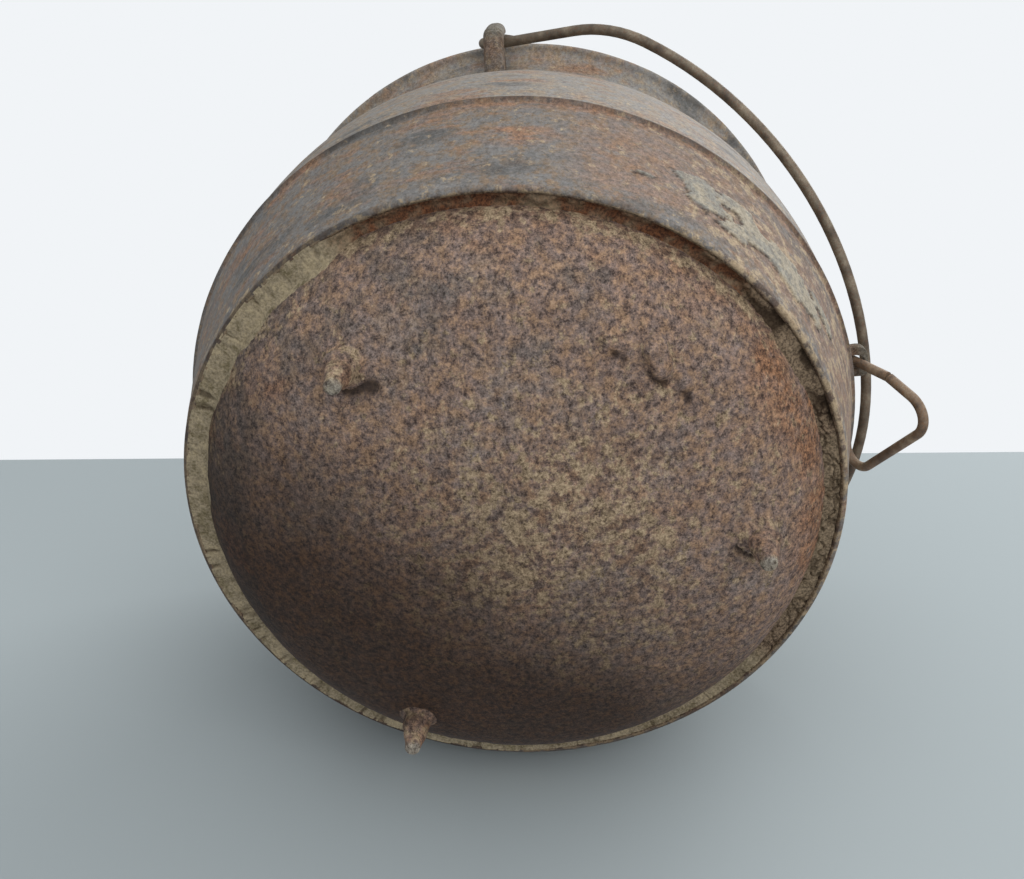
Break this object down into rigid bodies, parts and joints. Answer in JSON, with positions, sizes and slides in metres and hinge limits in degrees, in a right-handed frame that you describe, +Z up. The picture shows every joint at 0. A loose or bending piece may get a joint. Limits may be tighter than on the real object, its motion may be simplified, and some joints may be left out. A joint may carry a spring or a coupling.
{
  "type": "cast iron dutch oven",
  "caption": "Old flanged cast-iron kettle with a dished bottom set inside a thin lip, stub feet, a swinging wire bail and a small wire tipping ring on a side lug.",
  "frame": {"origin": "centre of the bounding box's base, on the plane the feet stand on; the kettle's own axis is 12.4 mm from it towards +Y, because the folded bail and the ring reach out on the -Y side", "axes": "+Z up, along the kettle's axis from the feet to the open mouth; X through both bail ears; -Y the side of the ring lug, where the bail lies folded down"},
  "size_m": [0.279, 0.2836, 0.2196],
  "materials": {
    "rusty_iron": "old sand-cast iron, rough, with brown and orange rust",
    "bail_wire": "dull dark drawn iron wire with thin brown rust",
    "ring_wire": "drawn iron wire covered with brown rust",
    "mortar": "dry cracked tan mortar"
  },
  "bodies": {
    "kettle": {"bottom": "rusty_iron", "lower_band": "rusty_iron", "belly": "rusty_iron", "rim": "rusty_iron", "ledge_crust": "mortar", "foot_1": "rusty_iron", "foot_2": "rusty_iron", "foot_3": "rusty_iron", "ear_left": "rusty_iron", "ear_right": "rusty_iron", "ring_lug": "rusty_iron"},
    "bail": {"bail": "bail_wire"},
    "ring": {"tipping_ring": "ring_wire"}
  },
  "joints": [
    {"name": "bail_swing", "type": "hinge", "parent": "kettle", "child": "bail", "pos_m": [0, 0.01235, 0.20738], "axis": [-1, 0, 0], "range_deg": [0, 242]},
    {"name": "ring_swing", "type": "hinge", "parent": "kettle", "child": "ring", "pos_m": [-0.00887, -0.12126, 0.11958], "axis": [0, 0, 1], "range_deg": [-116, 0]}
  ]
}
